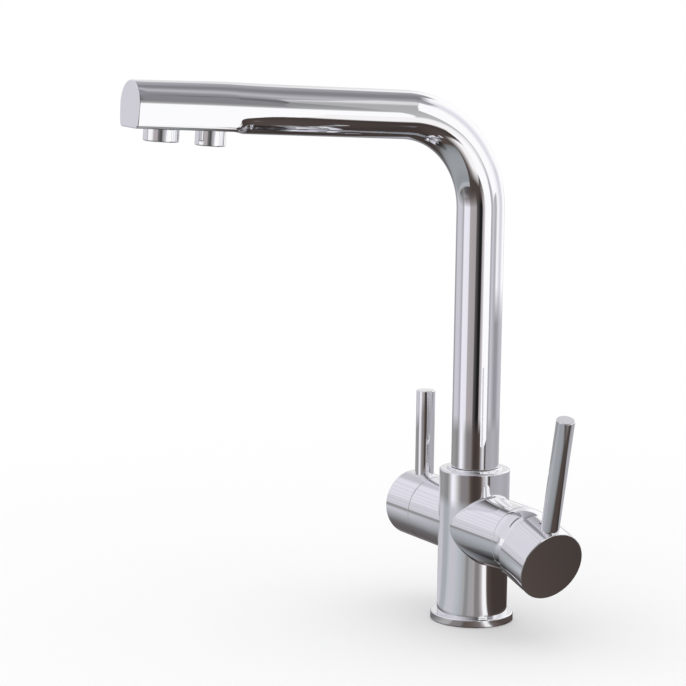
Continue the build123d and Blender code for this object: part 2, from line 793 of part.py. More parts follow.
def mixer_knob():
    knob = bar(knob_radius, knob_rim, knob_end)
    knob = chamfer(at_end(knob, Axis.X) + at_end(knob, Axis.X, last=False), edge_break)
    knob -= Rot(0, 90, 0) * Sphere(arm_radius + ball_gap)
    knob += bar(knob_boss_radius, knob_boss_start, knob_end - edge_break)
    socket = stem_square + 2 * knob_socket_gap
    length = knob_socket_end - knob_boss_start
    knob -= block(length, socket, socket, knob_boss_start + length / 2)
    seat = knob_radius - lever_seat_depth
    knob -= post(mixer_lever_radius + fit_gap, seat, knob_radius + overcut, mixer_lever_at)
    knob -= post(lever_stud_radius + fit_gap, seat - lever_stud_length, seat, mixer_lever_at)
    knob -= post(screw_radius + fit_gap, 0, arm_radius / 2, set_screw_at)
    knob -= post(plug_radius + fit_gap, arm_radius / 2, knob_radius + overcut, set_screw_at)
    return handle_frame * knob


def lever(radius, length, skin_radius, stud_length):
    """A handle rod standing on a seat sunk in a round knob, with its screwed foot."""
    seat = skin_radius - lever_seat_depth
    rod_part = chamfer(at_end(post(radius, seat, skin_radius + length), Axis.Z), edge_break)
    return rod_part + post(lever_stud_radius, seat - stud_length, seat)


def mixer_lever():
    whole = lever(mixer_lever_radius, mixer_lever_length, knob_radius, lever_stud_length - seam)
    return handle_frame * Pos(mixer_lever_at, 0, 0) * whole


def mixer_set_screw():
    foot = stem_square / 2 + set_screw_tip_gap
    return handle_frame * Pos(set_screw_at, 0, foot) * grub_screw(set_screw_length)


def indicator_plug():
    top = sqrt(knob_radius ** 2 - plug_radius ** 2)
    return handle_frame * post(plug_radius, top - plug_height, top, set_screw_at)


# ---- Filter headwork and handle ----
def headwork_body():
    start = headwork_floor + headwork_lift
    body = bar(headwork_skirt_radius, start, headwork_skirt_end)
    body += bar(headwork_radius, headwork_skirt_end, filter_arm_end)
    body += hexagon_bar(headwork_hex, filter_arm_end, filter_arm_end + headwork_hex_height)
    body += bar(headwork_neck_radius, filter_arm_end, headwork_neck_end)
    body -= bar(headwork_bore, start, headwork_bore_end)
    body -= bar(spindle_radius + running_gap, headwork_bore_end, headwork_neck_end)
    body -= block(headwork_window_length, 3 * headwork_radius, headwork_window_width,
                  headwork_window_start + headwork_window_length / 2)
    seat = Location((headwork_oring_at, 0, 0), (0, 90, 0))
    body -= seat * groove(headwork_oring_floor(), 0, headwork_oring_radius + fit_gap)
    return filter_frame * body


def headwork_oring_floor():
    return headwork_radius - 2 * headwork_oring_radius - oring_seat_gap


def headwork_oring():
    ring = oring(headwork_oring_floor(), headwork_oring_radius)
    return filter_frame * Location((headwork_oring_at, 0, 0), (0, 90, 0)) * ring


def headwork_seat_seal():
    end = headwork_floor + seat_seal_height
    seal = bar(seat_seal_outer, headwork_floor, end)
    return filter_frame * (seal - bar(seat_seal_inner, headwork_floor, end))


def valve_disc(start, turn):
    """A ceramic disc with two openings like slices, one each side."""
    half = valve_sector / 2
    reach_out = valve_sector_outer
    slice_outline = make_face([
        CenterArc((0, 0), reach_out, -half, valve_sector),
        Line((0, 0), (reach_out * cos(radians(half)), reach_out * sin(radians(half)))),
        Line((0, 0), (reach_out * cos(radians(half)), -reach_out * sin(radians(half)))),
    ])
    disc = post(headwork_bore - 2 * fit_gap, 0, valve_disc_height)
    opening = extrude(slice_outline, valve_disc_height) - post(valve_sector_inner, 0, valve_disc_height)
    for side in (0, half_turn):
        disc -= Rot(0, 0, turn + side) * opening
    return filter_frame * Location((start, 0, 0), (0, 90, 0)) * disc


def headwork_fixed_disc():
    return valve_disc(valve_fixed_start, 0)


def headwork_moving_disc():
    return valve_disc(valve_moving_start, 90)


def spindle_oring_floor():
    return spindle_radius + running_gap / 2 - 2 * spindle_oring_radius - oring_seat_gap


def headwork_spindle():
    spindle = bar(spindle_head_radius, spindle_start, headwork_bore_end - face_gap)
    spindle += bar(spindle_radius, spindle_start, spindle_end)
    seat = Location((spindle_oring_at, 0, 0), (0, 90, 0))
    spindle -= seat * groove(spindle_oring_floor(), 0, spindle_oring_radius + fit_gap)
    return filter_frame * spindle


def spindle_oring():
    ring = oring(spindle_oring_floor(), spindle_oring_radius)
    return filter_frame * Location((spindle_oring_at, 0, 0), (0, 90, 0)) * ring


def filter_knob():
    start = filter_arm_end + seam
    cap = bar(arm_radius, start, cap_end)
    cap = chamfer(at_end(cap, Axis.X) + at_end(cap, Axis.X, last=False), edge_break)
    cap -= bar(cap_bore, start, cap_end - cap_wall)
    cap += bar(cap_hub_radius, cap_hub_start, cap_end - cap_wall)
    cap -= bar(spindle_radius + fit_gap, cap_hub_start, spindle_end + seam)
    seat = arm_radius - lever_seat_depth
    cap -= post(filter_lever_radius + fit_gap, seat, arm_radius + overcut, filter_lever_at)
    cap -= post(lever_stud_radius + fit_gap, seat - filter_lever_stud, seat, filter_lever_at)
    cap -= post(screw_radius + fit_gap, -arm_radius - overcut, 0, filter_screw_at)
    return filter_frame * cap


def filter_lever():
    whole = lever(filter_lever_radius, filter_lever_length, arm_radius, filter_lever_stud - seam)
    return filter_frame * Pos(filter_lever_at, 0, 0) * whole


def filter_set_screw():
    foot = -spindle_radius - set_screw_tip_gap
    upside_down = Location((filter_screw_at, 0, foot), (half_turn, 0, 0))
    return filter_frame * upside_down * grub_screw(set_screw_length)


# ---- Every piece, one file each ----
pieces = (
    base_ring,
    base_gasket,
    body_casting,
    spout_collar,
    spout_retaining_screw,
    spout_shell,
    swivel_sleeve,
    slide_rings,
    spout_orings,
    filter_pipe,
    filter_spigot,
    spigot_oring,
    outlet_boss,
    filter_elbow,
    mixed_outlet_collar,
    mixed_aerator,
    filter_outlet_collar,
    filter_flow_straightener,
    outlet_washers,
    cartridge_port_seals,
    cartridge_housing,
    cartridge_fixed_disc,
    cartridge_moving_disc,
    disc_carrier,
    cartridge_rotor,
    pivot_pin,
    cartridge_nut,
    mixer_dome,
    mixer_stem,
    mixer_knob,
    mixer_lever,
    mixer_set_screw,
    indicator_plug,
    headwork_body,
    headwork_oring,
    headwork_seat_seal,
    headwork_fixed_disc,
    headwork_moving_disc,
    headwork_spindle,
    spindle_oring,
    filter_knob,
    filter_lever,
    filter_set_screw,
)

os.makedirs("parts", exist_ok=True)
for piece in pieces:
    export_step(piece(), f"parts/{piece.__name__}.step")
    print("wrote", piece.__name__)
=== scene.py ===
"""The looks of a chrome kitchen tap for hot, cold and filtered water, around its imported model.

Metres, +Z up, the spout reaches along -Y. An azimuth is the side that something lies on, seen
from the tap: 0 is the side the spout points to, 90 is the mixer handle's side.
"""

import json
from math import atan2, cos, hypot, pi, radians, sin, sqrt, tan

import bpy
from mathutils import Matrix, Vector


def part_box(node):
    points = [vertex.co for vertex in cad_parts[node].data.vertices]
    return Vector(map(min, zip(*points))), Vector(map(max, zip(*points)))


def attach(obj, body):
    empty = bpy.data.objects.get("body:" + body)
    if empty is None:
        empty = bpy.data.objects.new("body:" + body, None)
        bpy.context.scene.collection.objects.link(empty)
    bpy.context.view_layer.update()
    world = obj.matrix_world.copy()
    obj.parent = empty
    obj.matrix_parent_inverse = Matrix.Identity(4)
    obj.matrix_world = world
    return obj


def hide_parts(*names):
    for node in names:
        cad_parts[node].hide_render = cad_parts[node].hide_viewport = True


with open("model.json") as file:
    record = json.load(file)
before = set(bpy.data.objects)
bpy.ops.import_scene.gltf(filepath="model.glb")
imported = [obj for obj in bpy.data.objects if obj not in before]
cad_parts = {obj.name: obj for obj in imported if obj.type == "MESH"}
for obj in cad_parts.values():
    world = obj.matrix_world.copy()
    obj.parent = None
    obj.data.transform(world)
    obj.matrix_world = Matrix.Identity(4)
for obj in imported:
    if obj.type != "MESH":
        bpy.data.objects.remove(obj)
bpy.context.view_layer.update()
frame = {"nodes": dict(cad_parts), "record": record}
nodes = frame["nodes"]

# ---- Camera, as the photograph was taken ----
PICTURE = 686  # pixels on a side
SENSOR = 36.0  # millimetres
FOCAL_PIXELS = 2776.2
CAMERA_AZIMUTH = 59.78
CAMERA_ELEVATION = 9.15
CAMERA_DISTANCE = 1.8
CAMERA_ROLL = 0.85
AIM_ASIDE = -0.08724  # the aim lies this far to the right of the tap's axis
AIM_HEIGHT = 0.18192


def side(azimuth):
    """The level direction out to an azimuth in degrees."""
    return Vector((sin(radians(azimuth)), -cos(radians(azimuth)), 0))


def make_camera():
    """The camera that took the photograph, with its slight roll."""
    back = side(CAMERA_AZIMUTH) * cos(radians(CAMERA_ELEVATION))
    back.z = sin(radians(CAMERA_ELEVATION))
    level = side(CAMERA_AZIMUTH + 90)
    upright = back.cross(level)
    roll = radians(CAMERA_ROLL)
    right = level * cos(roll) + upright * sin(roll)
    up = upright * cos(roll) - level * sin(roll)
    place = level * AIM_ASIDE + Vector((0, 0, AIM_HEIGHT)) + back * CAMERA_DISTANCE
    data = bpy.data.cameras.new("photo_camera")
    data.sensor_width = SENSOR
    data.lens = FOCAL_PIXELS / PICTURE * SENSOR
    camera = bpy.data.objects.new("photo_camera", data)
    camera.matrix_world = Matrix.Translation(place) @ Matrix((right, up, back)).transposed().to_4x4()
    bpy.context.scene.collection.objects.link(camera)
    bpy.context.scene.camera = camera


# ---- Shader building ----
BEVEL_SAMPLES = 6


class Shader:
    """A material's node tree, with short calls to add and join its nodes."""

    def __init__(self, name):
        self.material = bpy.data.materials.new(name)
        self.material.use_nodes = True
        self.tree = self.material.node_tree
        self.tree.nodes.clear()
        self.output = self.add("ShaderNodeOutputMaterial")

    def add(self, kind, inputs=None, **settings):
        node = self.tree.nodes.new(kind)
        for key, value in settings.items():
            setattr(node, key, value)
        for key, value in (inputs or {}).items():
            self.feed(node.inputs[key], value)
        return node

    def feed(self, socket, value):
        if isinstance(value, bpy.types.NodeSocket):
            self.tree.links.new(value, socket)
        else:
            socket.default_value = value

    def ramp(self, factor, stops):
        """A ramp through (position, value) stops; a value is a grey or a colour."""
        node = self.add("ShaderNodeValToRGB", {"Fac": factor})
        elements = node.color_ramp.elements
        while len(elements) < len(stops):
            elements.new(1.0)
        for element, (position, value) in zip(elements, stops):
            element.position = position
            element.color = (*value, 1) if isinstance(value, tuple) else white(value)
        return node.outputs["Color"]

    def math(self, operation, first, second=0.0):
        return self.add("ShaderNodeMath", {0: first, 1: second}, operation=operation).outputs[0]

    def between(self, value, start, end):
        """How far a value is on its way from start to end, from 0 to 1."""
        inputs = {"Value": value, "From Min": start, "From Max": end}
        return self.add("ShaderNodeMapRange", inputs).outputs[0]

    def within(self, *edges):
        """1 inside a patch with soft edges and 0 outside; an edge is (value, outside, inside)."""
        share = self.between(*edges[0])
        for edge in edges[1:]:
            share = self.math("MULTIPLY", share, self.between(*edge))
        return share

    def mix(self, factor, first, second, blend="MIX"):
        node = self.add("ShaderNodeMix", data_type="RGBA", blend_type=blend)
        self.feed(node.inputs[0], factor)
        for socket, value in ((node.inputs[6], first), (node.inputs[7], second)):
            self.feed(socket, (*value, 1) if isinstance(value, tuple) else value)
        return node.outputs[2]

    def place(self):
        return self.add("ShaderNodeTexCoord").outputs["Object"]

    def split(self, vector):
        """The three coordinates of a place or a direction."""
        return self.add("ShaderNodeSeparateXYZ", {"Vector": vector}).outputs[:3]

    def away(self, point=(0, 0, 0)):
        """How far the shaded place is from a point, by default the middle of the tap's foot."""
        inputs = {0: self.place(), 1: point}
        return self.add("ShaderNodeVectorMath", inputs, operation="DISTANCE").outputs["Value"]

    def angle(self, x, y):
        """The angle round the tap, in radians: azimuths run up from 0 to pi and down to -pi."""
        return self.math("ARCTAN2", x, self.math("MULTIPLY", y, -1.0))

    def noise(self, scale, detail=2.0, stretch=None):
        vector = self.place()
        if stretch:
            mapping = self.add("ShaderNodeMapping", {"Vector": vector, "Scale": stretch})
            vector = mapping.outputs["Vector"]
        node = self.add("ShaderNodeTexNoise", {"Vector": vector, "Scale": scale, "Detail": detail})
        return node.outputs["Fac"]

    def bump(self, height, strength, distance, normal=None):
        node = self.add("ShaderNodeBump", {"Height": height, "Strength": strength, "Distance": distance})
        if normal:
            self.feed(node.inputs["Normal"], normal)
        return node.outputs["Normal"]

    def rounded(self, radius):
        """A normal that rounds every sharp edge a little, as plating does."""
        return self.add("ShaderNodeBevel", {"Radius": radius}, samples=BEVEL_SAMPLES).outputs["Normal"]

    def finish(self, node):
        self.feed(self.output.inputs["Surface"], node.outputs[0])
        return self.material

    def surface(self, inputs):
        return self.finish(self.add("ShaderNodeBsdfPrincipled", inputs))

    def glow(self, colour):
        return self.finish(self.add("ShaderNodeEmission", {"Color": colour}))


def white(value):
    return (value, value, value, 1)


# ---- Studio ----
# Chrome is seen by what it mirrors, so the tap stands in a small room that only its reflections
# see: a dark glossy table with a grey-blue cloth in front, walls with bright windows, and a tall
# lamp with windows beside it on the mixer's side. The stripes and cards are set one by one, each to
# about the brightness that the photograph's chrome shows where it would mirror them.
def angles(start, end):
    """Two angles in degrees, as radians."""
    return radians(start), radians(end)


def heights(low, high):
    """The heights that two elevations in degrees reach on a ball of radius 1."""
    return sin(radians(low)), sin(radians(high))


ROOM_RADIUS = 5.0
ROOM_STEPS = 96
ROOM_ROWS = 24
ROOM_FROM, ROOM_TO = -12.0, 89.5  # elevations, in degrees
TABLE_RADIUS = 4.9
TABLE_HEIGHT = 0.0004
# The varnish is painted: this index's Fresnel mixes the room's painted reflection into the table's colour.
TABLE_GLOSS = 1.5  # refractive index of its varnish
FLOOR_SIZE = 12.0
FLOOR_GRAIN = 4.0
FLOOR_TONE = [(0.0, 0.97), (1.0, 0.985)]
FLOOR_FADE = (0.10, 0.75)  # how far from the tap the shadow starts and ends to fade

# Tints, for the stripes below. A stripe is (azimuth, brightness, tint).
PLAIN = (1.0, 1.0, 1.0)
LAVENDER = (1.0, 0.985, 1.06)
BLUE = (0.95, 1.0, 1.06)
ROSE = (1.06, 0.98, 0.99)
BROWN = (1.22, 0.96, 0.86)

# The table as seen from above, in three rings round the tap.
NEAR_STEEP = [
    (-180, 0.050, BROWN), (-118, 0.052, BROWN), (-100, 0.042, BROWN), (-90, 0.060, BROWN),
    (-78, 0.10, ROSE), (-40, 0.11, ROSE), (10, 0.08, BROWN), (60, 0.078, BROWN), (98, 0.074, BROWN),
    (114, 0.060, BROWN), (130, 0.046, BROWN), (180, 0.050, BROWN),
]
MIDDLE_STEEP = [
    (-180, 0.42, LAVENDER), (-128, 0.40, LAVENDER), (-108, 0.20, PLAIN), (-92, 0.14, PLAIN),
    (-60, 0.15, PLAIN), (-34, 0.18, ROSE), (-22, 0.27, PLAIN), (-14, 0.15, ROSE), (0, 0.10, ROSE),
    (20, 0.075, BROWN), (30, 0.066, BROWN), (100, 0.064, BROWN), (123, 0.043, BROWN),
    (130, 0.36, LAVENDER), (180, 0.42, LAVENDER),
]
FAR_STEEP = [
    (-180, 0.30, LAVENDER), (-120, 0.25, LAVENDER), (-95, 0.20, PLAIN), (-60, 0.32, BLUE),
    (-30, 0.22, PLAIN), (-15, 0.10, BROWN), (60, 0.07, BROWN), (90, 0.10, BROWN), (108, 0.30, LAVENDER),
    (180, 0.36, LAVENDER),
]
# The same rings seen along the table, where the room's reflection in its varnish is painted
# in, and one more, darker with painted shade, at the base ring's foot.
FOOT_LEVEL = [
    (-180, 0.085, BROWN), (-60, 0.13, ROSE), (-25, 0.18, ROSE), (-8, 0.32, PLAIN), (5, 0.44, PLAIN),
    (18, 0.44, PLAIN), (23, 0.24, ROSE), (38, 0.22, ROSE), (45, 0.10, BROWN), (58, 0.12, BROWN),
    (71, 0.19, ROSE), (77, 0.50, ROSE), (80, 0.96, PLAIN), (86, 0.96, PLAIN), (91, 0.18, ROSE),
    (98, 0.12, BROWN), (112, 0.075, BROWN), (180, 0.085, BROWN),
]
NEAR_LEVEL = [
    (-180, 0.050, BROWN), (-150, 0.055, BROWN), (-125, 0.12, BROWN), (-112, 0.44, LAVENDER),
    (-85, 0.62, LAVENDER), (-62, 0.62, LAVENDER), (-53, 0.47, BLUE), (-34, 0.46, BLUE), (-26, 0.60, BLUE),
    (-18, 0.62, LAVENDER), (-1, 0.61, LAVENDER), (10, 0.56, BLUE), (22, 0.49, BLUE), (31, 0.42, PLAIN),
    (36, 0.29, PLAIN), (42, 0.29, PLAIN), (46, 0.38, PLAIN), (60, 0.41, ROSE), (65, 0.24, ROSE),
    (74, 0.24, ROSE), (79, 0.36, ROSE), (84, 0.56, ROSE), (88.5, 1.05, PLAIN), (97.5, 1.05, PLAIN),
    (101, 0.11, BROWN), (107, 0.068, BROWN), (122, 0.048, BROWN), (155, 0.046, BROWN), (180, 0.045, BROWN),
]
MIDDLE_LEVEL = [
    (-180, 0.43, LAVENDER), (-150, 0.50, LAVENDER), (-136, 0.54, LAVENDER), (-120, 0.40, LAVENDER),
    (-98, 0.30, PLAIN), (-66, 0.36, PLAIN), (-50, 0.30, PLAIN), (-38, 0.28, PLAIN), (-31, 0.46, PLAIN),
    (-24, 0.72, LAVENDER), (-19, 1.03, LAVENDER), (-12, 1.00, LAVENDER), (-2, 0.72, PLAIN),
    (4, 0.50, PLAIN), (9, 0.36, ROSE), (15, 0.25, ROSE), (36, 0.23, ROSE), (42, 0.13, BROWN),
    (47, 0.066, BROWN), (58, 0.048, BROWN), (70, 0.058, BROWN), (77, 0.082, BROWN), (84, 0.40, ROSE),
    (90, 0.70, PLAIN), (99, 0.70, PLAIN), (102, 0.055, BROWN), (106, 0.046, BROWN),
    (110, 0.42, LAVENDER), (126, 0.44, LAVENDER), (150, 0.48, LAVENDER), (180, 0.43, LAVENDER),
]
FAR_LEVEL = [
    (-180, 0.55, LAVENDER), (-154, 0.59, LAVENDER), (-130, 0.60, LAVENDER), (-110, 0.44, LAVENDER),
    (-94, 0.36, LAVENDER), (-86, 0.36, LAVENDER), (-80, 0.64, LAVENDER), (-64, 0.67, LAVENDER),
    (-47, 0.66, LAVENDER), (-38, 0.56, LAVENDER), (-33, 0.40, LAVENDER), (-28, 0.60, LAVENDER),
    (-24, 0.96, LAVENDER), (4, 0.92, LAVENDER), (8, 0.44, ROSE), (38, 0.40, ROSE), (42, 0.10, ROSE),
    (51, 0.050, ROSE), (56, 0.014, PLAIN), (67, 0.012, PLAIN), (69, 0.42, ROSE), (76, 0.60, ROSE),
    (82, 0.98, PLAIN), (106, 1.10, PLAIN), (109, 0.44, LAVENDER), (115, 0.46, LAVENDER),
    (122, 0.68, LAVENDER), (134, 0.49, LAVENDER), (147, 0.34, LAVENDER), (162, 0.36, LAVENDER),
    (180, 0.55, LAVENDER),
]
RINGS = [
    (NEAR_STEEP, FOOT_LEVEL), (NEAR_STEEP, NEAR_LEVEL), (MIDDLE_STEEP, MIDDLE_LEVEL), (FAR_STEEP, FAR_LEVEL),
]
RING_STEPS = [(0.043, 0.050), (0.36, 0.40), (0.66, 0.74)]  # where one ring passes into the next
# Reflectances at which each ring starts to show the room's painted reflection, and shows it whole.
MIRRORED = [(0.06, 0.24), (0.06, 0.24), (0.10, 0.28), (0.12, 0.34)]
# The tap's shade on the table: (distance from the tap as a share of SHADE_SPAN, brightness).
SHADE_SPAN = 0.20
SHADE_AT_TAP = [(0.20, 0.30), (0.36, 0.60), (0.42, 1.0)]

# Patches on the table. A soft edge is (where the patch isn't yet there, where it is whole). The
# back of the lamp's pool and the side of the cloth lean.
LEAN = 0.25
LAMPLIGHT = (1.05, 1.03, 1.02)
# The lamp's pool, as seen from above.
POOL_X, POOL_END_X = (0.25, 0.42), (0.64, 0.60)
POOL_FRONT, POOL_BACK = (-0.30, -0.12), (-0.025, -0.05)
# The windows' light. It is seen where the varnish reflects less than this, and far out less still.
GLOW_X, GLOW_Y = (0.46, 0.56), (0.20, 0.26)
GLOW_REFLECTANCE = (0.345, 0.30)
GLOW_FAR, GLOW_FAR_DROP = (1.45, 1.70), 0.09
# Soft light on the near ring behind the tap.
BACK_LIGHT = (0.46, 0.455, 0.49)
BACK_LIGHT_Y, BACK_LIGHT_END_X = (0.145, 0.165), (0.27, 0.20)
# Far out behind the tap, the table takes the walls' colours.
BEHIND_FROM, BEHIND_AWAY = angles(137, 147), (1.30, 1.60)
# The cloth: its hems, and its colours from front to back as (share of the way, colour), with painted shade
# darkening its back by the tap.
CLOTH_FRONT, CLOTH_BACK = -0.43, -0.03
CLOTH_FRONT_HEM, CLOTH_BACK_HEM, CLOTH_SIDE_HEM = (CLOTH_FRONT, -0.41), (-0.035, -0.05), (0.27, 0.25)
CLOTH_AND_SHADE = [
    (0.0, (0.46, 0.47, 0.50)), (0.16, (0.48, 0.50, 0.52)), (0.21, (0.33, 0.36, 0.38)),
    (0.33, (0.32, 0.34, 0.36)), (0.58, (0.37, 0.39, 0.41)), (0.78, (0.35, 0.37, 0.39)),
    (0.88, (0.29, 0.31, 0.32)), (0.96, (0.18, 0.18, 0.18)),
]

# The walls, in three storeys. Each one above the lowest starts softly, between two heights.
MIDDLE_STOREY, TOP_STOREY = heights(8, 12), heights(42, 47)
# The top storey starts lower in the corners behind the tap, and higher straight behind it.
CORNER, STRAIGHT_BACK = angles(138, 147), angles(158, 167)
CORNER_DROP, BACK_RISE = 0.035, 0.110
# A slatted blind on the filter handle's side: the dark lines between its slats, and their depth.
SLATS = 11.0  # a radian
SLAT_LINE, SLAT_LINE_END = (0.80, 0.88), (1.0, 0.92)  # shares of a slat
BLIND_FROM, BLIND_TO = angles(-104, -96), angles(-2, -12)
BLIND_LINE, BLIND_DEPTH = (0.30, 0.29, 0.32), 0.32
WALL_LOW = [
    (-180, 0.86, LAVENDER), (-174, 1.0, PLAIN), (-166, 1.10, PLAIN), (-139, 1.12, PLAIN),
    (-134, 0.82, LAVENDER), (-130, 0.76, LAVENDER), (-126, 1.02, PLAIN), (-118, 0.90, PLAIN),
    (-108, 0.60, LAVENDER), (-92, 0.62, LAVENDER), (-84, 0.72, LAVENDER), (-38, 0.70, LAVENDER),
    (-33, 0.50, LAVENDER), (-28, 0.62, LAVENDER), (-24, 1.08, PLAIN), (0, 1.05, PLAIN),
    (8, 0.86, PLAIN), (14, 0.48, ROSE), (37, 0.44, ROSE), (43, 0.20, ROSE), (54, 0.10, PLAIN),
    (65, 0.08, PLAIN), (71, 0.34, PLAIN), (90, 0.66, LAVENDER), (104, 0.60, LAVENDER),
    (110, 0.42, LAVENDER), (122, 0.52, LAVENDER), (130, 1.06, PLAIN), (152, 1.06, PLAIN),
    (160, 0.88, LAVENDER), (170, 0.73, LAVENDER), (180, 0.86, LAVENDER),
]
WALL_MIDDLE = [
    (-180, 1.04, PLAIN), (-172, 1.12, PLAIN), (-137, 1.12, PLAIN), (-129, 0.98, PLAIN),
    (-124, 0.84, PLAIN), (-114, 0.82, PLAIN), (-104, 0.62, LAVENDER), (-92, 0.62, LAVENDER),
    (-84, 0.86, LAVENDER), (-60, 0.84, LAVENDER), (-38, 0.78, LAVENDER), (5, 0.82, LAVENDER),
    (28, 0.62, LAVENDER), (48, 0.34, PLAIN), (70, 0.12, ROSE), (104, 0.13, ROSE), (111, 0.26, LAVENDER),
    (121, 0.27, LAVENDER), (124, 0.18, LAVENDER), (127, 0.17, LAVENDER), (129, 0.34, LAVENDER),
    (132, 0.50, LAVENDER), (136, 0.70, LAVENDER), (141, 1.08, PLAIN), (146, 1.08, PLAIN),
    (151, 0.98, PLAIN), (156, 0.87, LAVENDER), (162, 0.83, LAVENDER), (170, 0.90, LAVENDER),
    (180, 1.04, PLAIN),
]
WALL_HIGH = [
    (-180, 0.26, LAVENDER), (-166, 0.27, LAVENDER), (-144, 0.40, LAVENDER), (-130, 0.44, LAVENDER),
    (-112, 0.58, LAVENDER), (-88, 0.76, LAVENDER), (-40, 0.80, LAVENDER), (0, 0.84, LAVENDER),
    (15, 0.62, LAVENDER), (50, 0.46, LAVENDER), (90, 0.32, LAVENDER), (128, 0.30, LAVENDER),
    (134, 0.42, LAVENDER), (142, 0.56, LAVENDER), (150, 0.46, LAVENDER), (159, 0.37, LAVENDER),
    (170, 0.27, LAVENDER), (180, 0.26, LAVENDER),
]

CARD_X = 0.60
# The lamp and the windows beside it: (name, outline as (y, z), brightness by height). Above 1 m a
# card keeps its last brightness.
CARDS = [
    ("lamp", [(-0.105, 0.0), (0.212, 0.0), (0.212, 0.56), (-0.105, 0.56)],
     [(0.41, 1.12), (0.435, 0.72), (0.465, 0.46), (0.51, 0.34), (0.56, 0.27)]),
    ("lamp_strip", [(0.212, 0.20), (0.30, 0.21), (0.30, 0.80), (0.212, 0.60)],
     [(0.20, 0.9), (0.22, 1.12), (0.41, 1.12), (0.435, 0.74), (0.46, 0.46), (0.56, 0.36), (0.80, 0.28)]),
    ("window_post", [(0.30, 0.21), (0.365, 0.21), (0.365, 0.58), (0.46, 0.81), (0.55, 0.96), (0.86, 1.42),
                     (0.86, 1.62), (0.50, 1.12), (0.36, 1.0), (0.30, 0.80)],
     [(0.21, 0.80), (0.27, 0.56), (0.45, 0.50), (0.80, 0.47), (0.95, 0.55), (1.0, 0.66), (1.0, 0.8)]),
    ("window", [(0.365, 0.20), (0.86, 0.24), (0.86, 1.42), (0.55, 0.96), (0.46, 0.81), (0.365, 0.58)],
     [(0.20, 0.9), (0.22, 1.12)]),
]


def new_mesh(name, points, faces, material, smooth=False):
    mesh = bpy.data.meshes.new(name)
    mesh.from_pydata([tuple(p) for p in points], [], faces)
    mesh.materials.append(material)
    for polygon in mesh.polygons:
        polygon.use_smooth = smooth
    thing = bpy.data.objects.new(name, mesh)
    bpy.context.scene.collection.objects.link(thing)
    return thing


def only_reflected(thing):
    """Marks a card of the studio: chrome reflects it, and nothing else sees it."""
    for kind in ("camera", "diffuse", "transmission", "volume_scatter", "shadow"):
        setattr(thing, "visible_" + kind, False)


def ring_faces(rows, count):
    """Faces between rows of points, where each row is a closed ring of count points."""
    faces = []
    for row in range(rows - 1):
        for step in range(count):
            first, after = row * count, (step + 1) % count
            faces.append((first + step, first + after, first + count + after, first + count + step))
    return faces


def stripes(shader, angle, stops):
    """The colours of a list of stripes at an angle, in radians, round the tap."""
    spots = []
    for azimuth, brightness, tint in stops:
        spots.append((0.5 + azimuth / 360, tuple(brightness * share for share in tint)))
    return shader.ramp(shader.between(angle, -pi, pi), spots)


def top_storey(shader, angle, height):
    """1 in the walls' top storey and on the ceiling, and 0 below them."""
    round_back = shader.math("ABSOLUTE", angle)
    drop = shader.math("MULTIPLY", shader.between(round_back, *CORNER), CORNER_DROP)
    rise = shader.math("MULTIPLY", shader.between(round_back, *STRAIGHT_BACK), BACK_RISE)
    height = shader.math("SUBTRACT", shader.math("ADD", height, drop), rise)
    return shader.between(height, *TOP_STOREY)


def blind_lines(shader, angle, height):
    """1 on the dark lines between the blind's slats, and 0 elsewhere."""
    slats = shader.math("FRACT", shader.math("MULTIPLY", shader.math("ARCSINE", height), SLATS))
    on_line = shader.within((slats, *SLAT_LINE), (slats, *SLAT_LINE_END))
    return shader.math("MULTIPLY", on_line, shader.within((angle, *BLIND_FROM), (angle, *BLIND_TO)))


def room_shader():
    """Walls in three storeys of stripes; the top one goes on over the ceiling."""
    shader = Shader("room")
    angle = shader.angle(*shader.split(shader.place())[:2])
    upward = shader.add("ShaderNodeVectorMath", {0: shader.place()}, operation="NORMALIZE").outputs[0]
    height = shader.split(upward)[2]
    middle = shader.between(height, *MIDDLE_STOREY)
    colour = shader.mix(middle, stripes(shader, angle, WALL_LOW), stripes(shader, angle, WALL_MIDDLE))
    colour = shader.mix(top_storey(shader, angle, height), colour, stripes(shader, angle, WALL_HIGH))
    lines = shader.math("MULTIPLY", blind_lines(shader, angle, height), BLIND_DEPTH)
    return shader.glow(shader.mix(lines, colour, BLIND_LINE))


def leaning(shader, along, across):
    """What a leaning edge is told by: one coordinate, less a share of the other."""
    return shader.math("SUBTRACT", along, shader.math("MULTIPLY", across, LEAN))


def table_looks(shader, x, y, away, reflectance):
    """Each ring's colours: cloth, wood, painted shade and lamplight from above, the room's painted
    reflection along the table.
    """
    angle = shader.angle(x, y)
    shade = shader.ramp(shader.between(away, 0.0, SHADE_SPAN), SHADE_AT_TAP)
    back, right = leaning(shader, y, x), leaning(shader, x, y)
    pool = shader.within((x, *POOL_X), (x, *POOL_END_X), (y, *POOL_FRONT), (back, *POOL_BACK))
    on_cloth = shader.within((y, *CLOTH_FRONT_HEM), (y, *CLOTH_BACK_HEM), (right, *CLOTH_SIDE_HEM))
    # The cloth's colours carry painted shade, which darkens it near the tap.
    cloth_and_shade = shader.ramp(shader.between(y, CLOTH_FRONT, CLOTH_BACK), CLOTH_AND_SHADE)
    looks = []
    for (steep, level), mirrored in zip(RINGS, MIRRORED):
        above = shader.mix(on_cloth, stripes(shader, angle, steep), cloth_and_shade)
        above = shader.mix(pool, shader.mix(1.0, above, shade, blend="MULTIPLY"), LAMPLIGHT)
        share = shader.between(reflectance, *mirrored)
        looks.append(shader.mix(share, above, stripes(shader, angle, level)))
    return looks


def window_glow(shader, x, y, away, reflectance):
    """1 where the windows' light is seen on the table, on the mixer's side, and 0 elsewhere."""
    drop = shader.math("MULTIPLY", shader.between(away, *GLOW_FAR), GLOW_FAR_DROP)
    reflectance = shader.math("SUBTRACT", reflectance, drop)
    return shader.within((x, *GLOW_X), (y, *GLOW_Y), (reflectance, *GLOW_REFLECTANCE))


